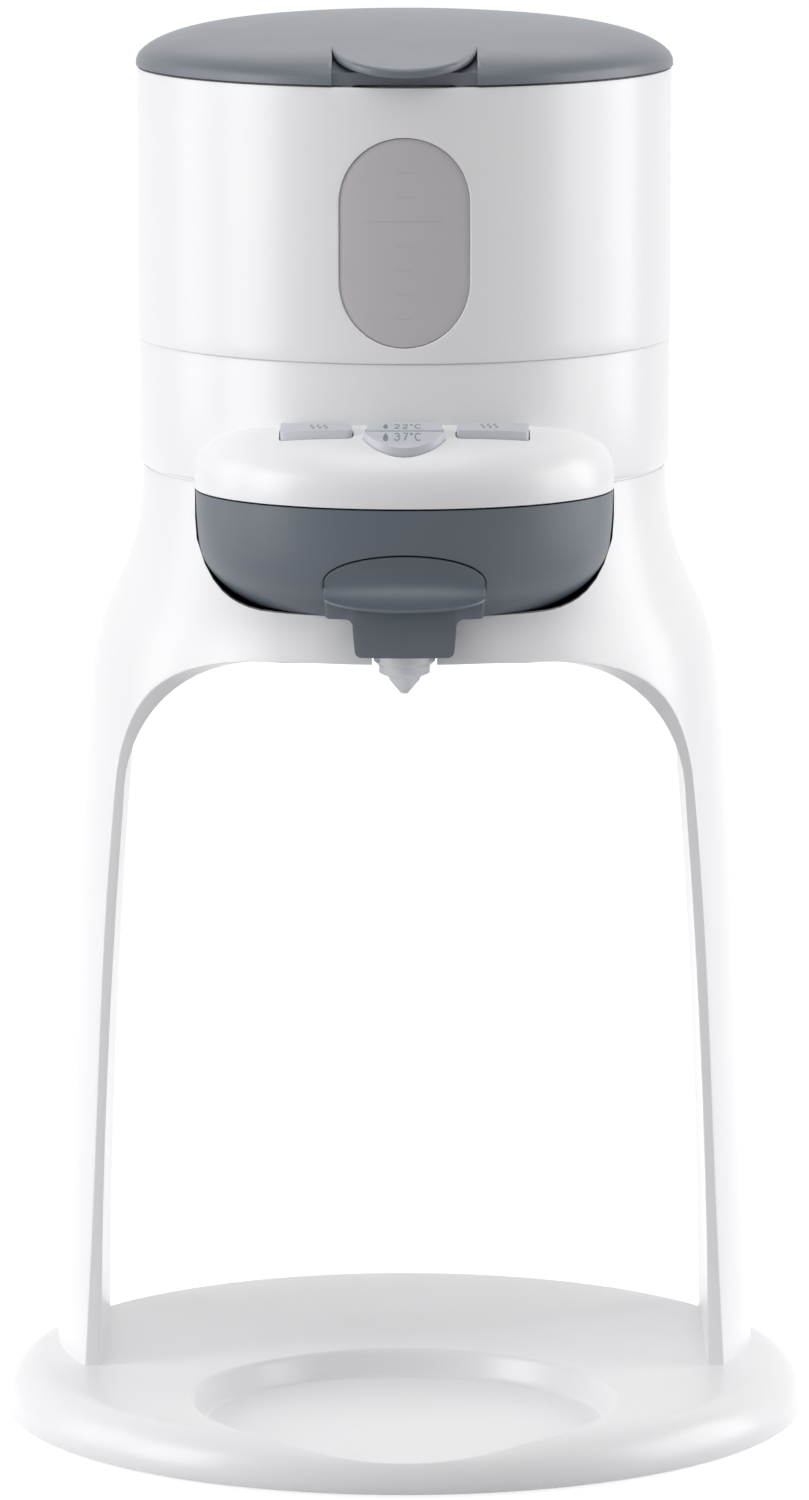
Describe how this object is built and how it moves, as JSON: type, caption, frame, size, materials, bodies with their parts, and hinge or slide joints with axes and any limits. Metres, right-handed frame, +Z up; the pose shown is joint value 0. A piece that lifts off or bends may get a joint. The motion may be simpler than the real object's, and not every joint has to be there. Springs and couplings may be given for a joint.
{
  "type": "baby formula maker",
  "caption": "Free-standing baby formula maker: water tank with hinged lid, keys over a pull-out powder drawer with nozzle, and an arch on a round base that spans the bottle.",
  "frame": {"origin": "centre of the round base, on the surface that the feet rest on", "axes": "+Z up, the front with the drawer and keys faces -Y, +X to the right seen from the front"},
  "size_m": [0.203, 0.203, 0.3532],
  "materials": {
    "white_abs": "satin white ABS",
    "slate_abs": "satin slate ABS",
    "drawer_abs": "fine-grained slate ABS",
    "grey_caps": "light grey moulding",
    "clear_tritan": "clear copolyester",
    "nozzle_clear": "frosted clear copolyester",
    "window_smoke": "smoke-tinted acrylic",
    "frosted_pp": "frosted polypropylene",
    "silicone": "moulded silicone",
    "silicone_hose": "translucent silicone hose",
    "steel": "zinc-plated steel",
    "circuit": "glass-epoxy board",
    "bay_abs": "dark moulding",
    "cast_aluminium": "die-cast aluminium"
  },
  "bodies": {
    "root": {"base_plate": "white_abs", "base_cover": "bay_abs", "ballast_plate": "steel", "rubber_feet": "silicone", "base_screws": "steel", "leg_screws": "steel", "arch_shell": "white_abs", "arch_lining": "white_abs", "rear_cover": "white_abs", "rear_screws": "steel", "mains_inlet": "silicone", "drum_collar": "white_abs", "dock_plate": "white_abs", "dock_seal": "silicone", "control_hood": "white_abs", "spring_left": "steel", "spring_right": "steel", "spring_upper": "steel", "spring_lower": "steel", "control_board": "circuit", "bay_ceiling": "bay_abs", "shower_head": "grey_caps", "drawer_bay": "bay_abs", "drawer_rails": "grey_caps", "heater_block": "cast_aluminium", "thermostat": "steel", "thermal_fuse": "steel", "water_pump": "steel", "pump_mounts": "silicone", "flow_meter": "white_abs", "power_board": "circuit", "suction_hose": "silicone_hose", "pump_hose": "silicone_hose", "heater_hose": "silicone_hose", "shower_hose": "silicone_hose"},
    "tank": {"tank_sleeve": "white_abs", "tank_window": "window_smoke", "water_tank": "clear_tritan", "valve_body": "white_abs", "hinge_pin": "steel", "valve_spring": "steel"},
    "poppet": {"valve_poppet": "grey_caps", "valve_seal": "silicone"},
    "lid": {"lid": "slate_abs", "lid_liner": "grey_caps", "lid_seal": "silicone"},
    "drawer": {"drawer_shell": "drawer_abs", "drawer_handle": "drawer_abs", "mixing_funnel": "frosted_pp", "spout_nozzle": "nozzle_clear", "funnel_seal": "silicone"},
    "key_left": {"button_left": "grey_caps"},
    "key_right": {"button_right": "grey_caps"},
    "key_upper": {"button_upper": "grey_caps"},
    "key_lower": {"button_lower": "grey_caps"}
  },
  "joints": [
    {"name": "tank_lift", "type": "slide", "parent": "root", "child": "tank", "axis": [0, 0, 1], "range_m": [0, 0.06]},
    {"name": "lid_hinge", "type": "hinge", "parent": "tank", "child": "lid", "pos_m": [0, 0.092, 0.3436], "axis": [-1, 0, 0], "range_deg": [0, 100]},
    {"name": "valve_lift", "type": "slide", "parent": "tank", "child": "poppet", "axis": [0, 0, 1], "range_m": [0, 0.0015], "stiffness_N_per_m": 100, "springref_m": -0.001, "deforming": ["valve_spring"]},
    {"name": "drawer_slide", "type": "slide", "parent": "root", "child": "drawer", "axis": [0, -1, 0], "range_m": [0, 0.045]},
    {"name": "key_left_press", "type": "slide", "parent": "root", "child": "key_left", "axis": [0, 0, -1], "range_m": [0, 0.001], "stiffness_N_per_m": 400, "springref_m": -0.001, "deforming": ["spring_left"]},
    {"name": "key_right_press", "type": "slide", "parent": "root", "child": "key_right", "axis": [0, 0, -1], "range_m": [0, 0.001], "stiffness_N_per_m": 400, "springref_m": -0.001, "deforming": ["spring_right"]},
    {"name": "key_upper_press", "type": "slide", "parent": "root", "child": "key_upper", "axis": [0, 0, -1], "range_m": [0, 0.001], "stiffness_N_per_m": 400, "springref_m": -0.001, "deforming": ["spring_upper"]},
    {"name": "key_lower_press", "type": "slide", "parent": "root", "child": "key_lower", "axis": [0, 0, -1], "range_m": [0, 0.001], "stiffness_N_per_m": 400, "springref_m": -0.001, "deforming": ["spring_lower"]}
  ]
}
